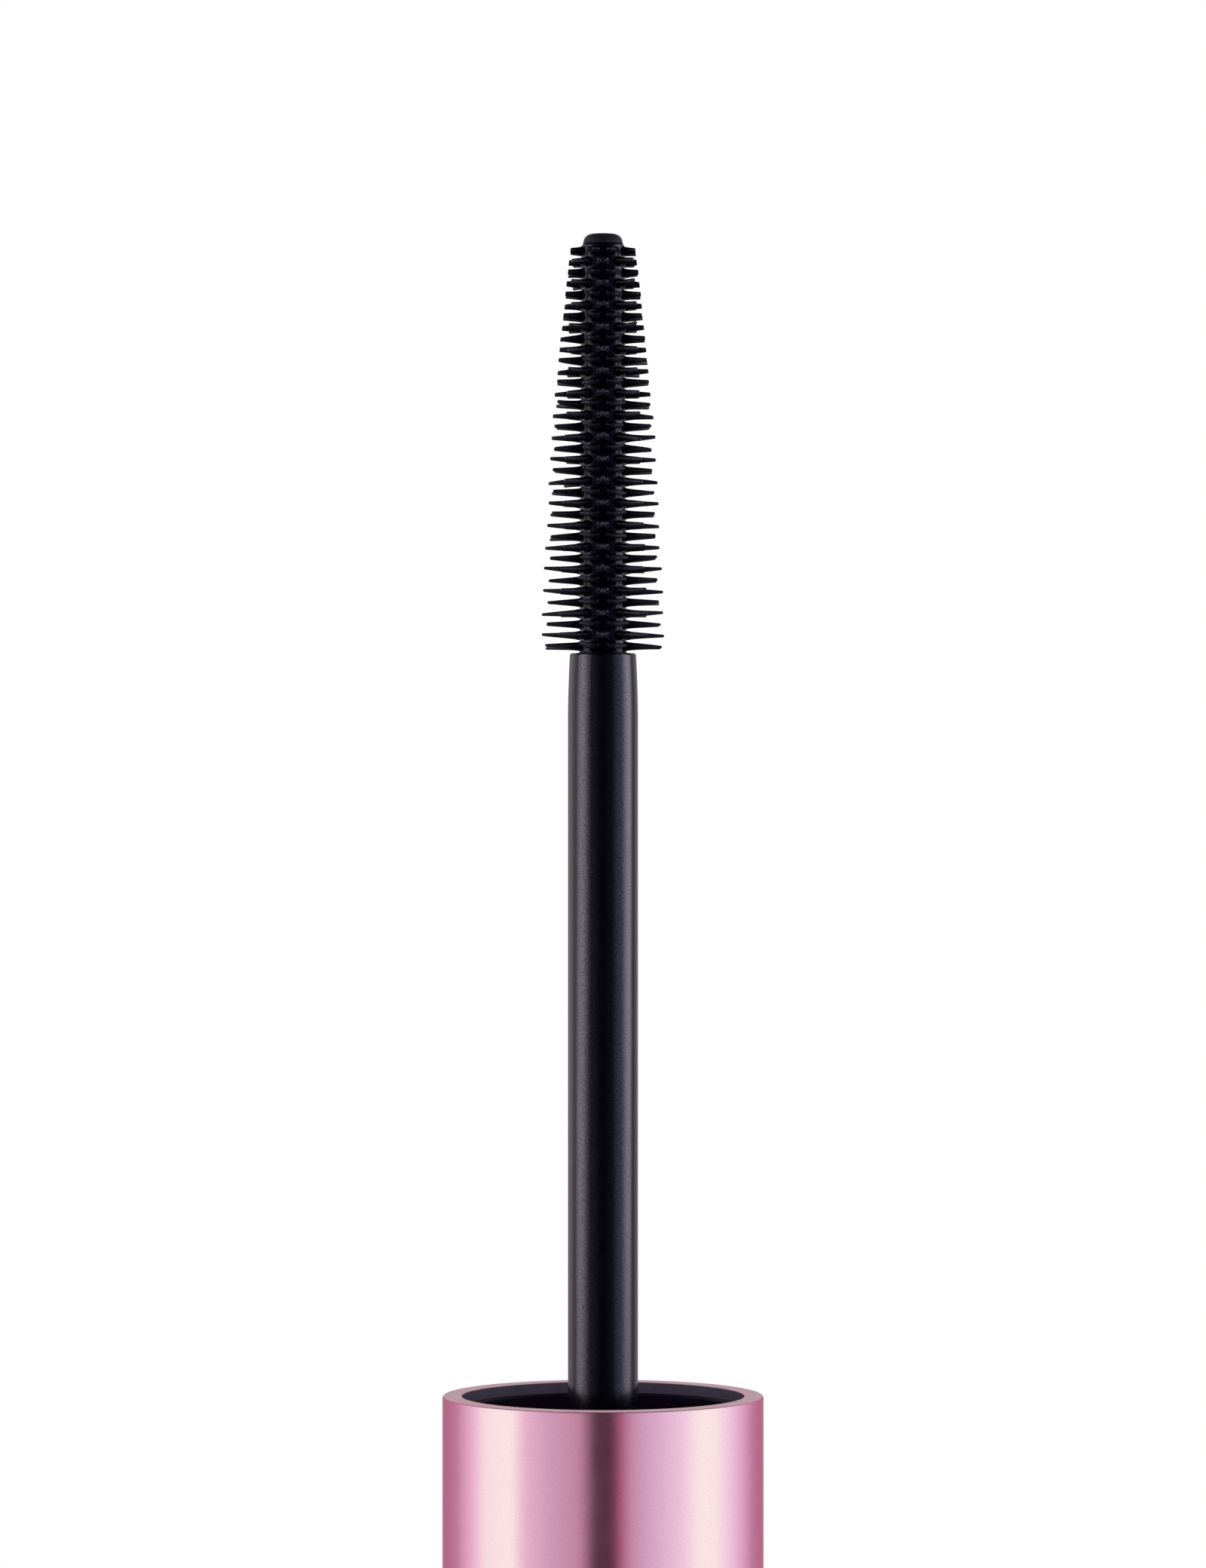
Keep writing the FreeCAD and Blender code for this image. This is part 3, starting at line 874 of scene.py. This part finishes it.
def fill_ramp(ramp):
    """Puts the studio's surroundings into a colour ramp."""
    ramp.interpolation = "LINEAR"
    while len(ramp.elements) < len(SURROUNDINGS):
        ramp.elements.new(0.5)
    for element, (degrees, colour) in zip(ramp.elements, SURROUNDINGS):
        element.position = degrees / 360 + 0.5
        element.color = (*colour, 1)


def strip_light(name, bearing_degrees, spread_degrees, slant, foot, power, colour, receivers):
    """A tall soft box that faces the wand, fades to its upright edges and, by its foot, downwards."""
    light = bpy.data.lights.new(name, "AREA")
    light.shape = "RECTANGLE"
    light.size = 2 * LIGHT_DISTANCE * math.tan(math.radians(spread_degrees / 2))
    light.size_y = LIGHT_HEIGHT
    light.energy = power
    light.color = colour
    light.use_nodes = True
    tree = light.node_tree
    place = tree.nodes.new("ShaderNodeNewGeometry")
    parts = tree.nodes.new("ShaderNodeSeparateXYZ")
    tree.links.new(place.outputs["Parametric"], parts.inputs["Vector"])
    lean = spread(tree, parts.outputs["Y"], 0, 0.5, 0.5 * slant, 0)
    across = math_node(tree, "ADD", parts.outputs["X"], lean)
    wave = math_node(tree, "SINE", spread(tree, across, 0, 1, 0, math.pi))
    low = spread(tree, parts.outputs["Y"], *LIGHT_FALL, foot, 1)
    fade = math_node(tree, "MULTIPLY", math_node(tree, "POWER", wave, 2), low)
    tree.links.new(fade, tree.nodes["Emission"].inputs["Strength"])
    box = bpy.data.objects.new(name, light)
    bearing = math.radians(bearing_degrees)
    box.location = (
        LIGHT_DISTANCE * math.sin(bearing), -LIGHT_DISTANCE * math.cos(bearing), STEM_TOP.z,
    )
    box.rotation_euler = (math.pi / 2, 0, bearing)
    bpy.context.scene.collection.objects.link(box)
    group = bpy.data.collections.new(name + "_receivers")
    for piece in receivers:
        group.objects.link(piece)
    box.light_linking.receiver_collection = group


def make_floor():
    """A round pale floor that fades into the white surroundings at its edge."""
    bm = bmesh.new()
    bmesh.ops.create_circle(bm, cap_ends=True, radius=FLOOR_RADIUS, segments=128)
    floor = finish_mesh("studio_floor", bm)
    floor.location.z = CAP_FOOT.z - FLOOR_GAP
    made, tree, shader = new_material("pale_floor", (0.9, 0.9, 0.9), 0.7)
    source = tree.nodes.new("ShaderNodeTexCoord")
    length = tree.nodes.new("ShaderNodeVectorMath")
    length.operation = "LENGTH"
    tree.links.new(source.outputs["Object"], length.inputs[0])
    fade = spread(tree, length.outputs["Value"], *FLOOR_FADE, 0, 1)
    glow = tree.nodes.new("ShaderNodeEmission")
    mix = tree.nodes.new("ShaderNodeMixShader")
    tree.links.new(fade, mix.inputs["Fac"])
    tree.links.new(shader.outputs["BSDF"], mix.inputs[1])
    tree.links.new(glow.outputs["Emission"], mix.inputs[2])
    tree.links.new(mix.outputs["Shader"], tree.nodes["Material Output"].inputs["Surface"])
    floor.data.materials.append(made)
    floor.visible_glossy = False


def make_camera():
    """A long lens, level with the stem's upper half."""
    data = bpy.data.cameras.new("camera")
    data.lens = CAMERA_LENS
    data.sensor_width = CAMERA_SENSOR
    camera = bpy.data.objects.new("camera", data)
    camera.location = (0, -CAMERA_DISTANCE, RIM + CAMERA_RISE)
    camera.rotation_euler = (math.pi / 2, 0, 0)
    bpy.context.scene.collection.objects.link(camera)
    bpy.context.scene.camera = camera


def main():
    """Builds the object's pieces with their materials, then the studio round them."""
    make_camera()
    lacquer = cap_lacquer()
    wall_black = moulded_black(
        "cap_bare_black", (0.074, 0.058, 0.096), (0.096, 0.075, 0.122),
        roughness=0.5, specular=0.3, gloss=(0.9, 0.8, 1), grain=0.004,
    )
    # The liner's plastic is black, and its colour and gloss are set deeper still: painted shade for
    # the dim inside of the cap's mouth
    liner_black_and_shade = moulded_black(
        "liner_black_and_shade", (0.004, 0.0016, 0.009), (0.006, 0.0026, 0.013),
        roughness=0.35, specular=0.1, gloss=(0.8, 0.5, 1), grain=0.001,
    )
    stem_black = moulded_black(
        "stem_satin_black", (0.0003, 0.0003, 0.0006), (0.0006, 0.0006, 0.001),
        roughness=0.15, specular=0.08, gloss=(0.88, 0.83, 1), grain=0.001,
    )
    core_black = moulded_black(
        "core_black", (0.004, 0.004, 0.007), (0.007, 0.007, 0.011),
        roughness=0.35, specular=0.27, gloss=(0.8, 0.7, 1), grain=0.001,
    )
    make_cap(lacquer, wall_black, dull_lacquer())
    make_liner(liner_black_and_shade)
    make_seal(foam())
    stem = make_stem(stem_black)
    make_core(core_black)
    sleeve = make_sleeve(sleeve_elastomer())
    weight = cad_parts["cap_weight"]
    weight.data.materials.clear()
    weight.data.materials.append(turned_steel())
    studio_world()
    for light in WAND_LIGHTS:
        strip_light(*light, [stem, sleeve])
    make_floor()
    view = bpy.context.scene.view_settings
    view.view_transform = "Standard"
    view.look = "None"


main()
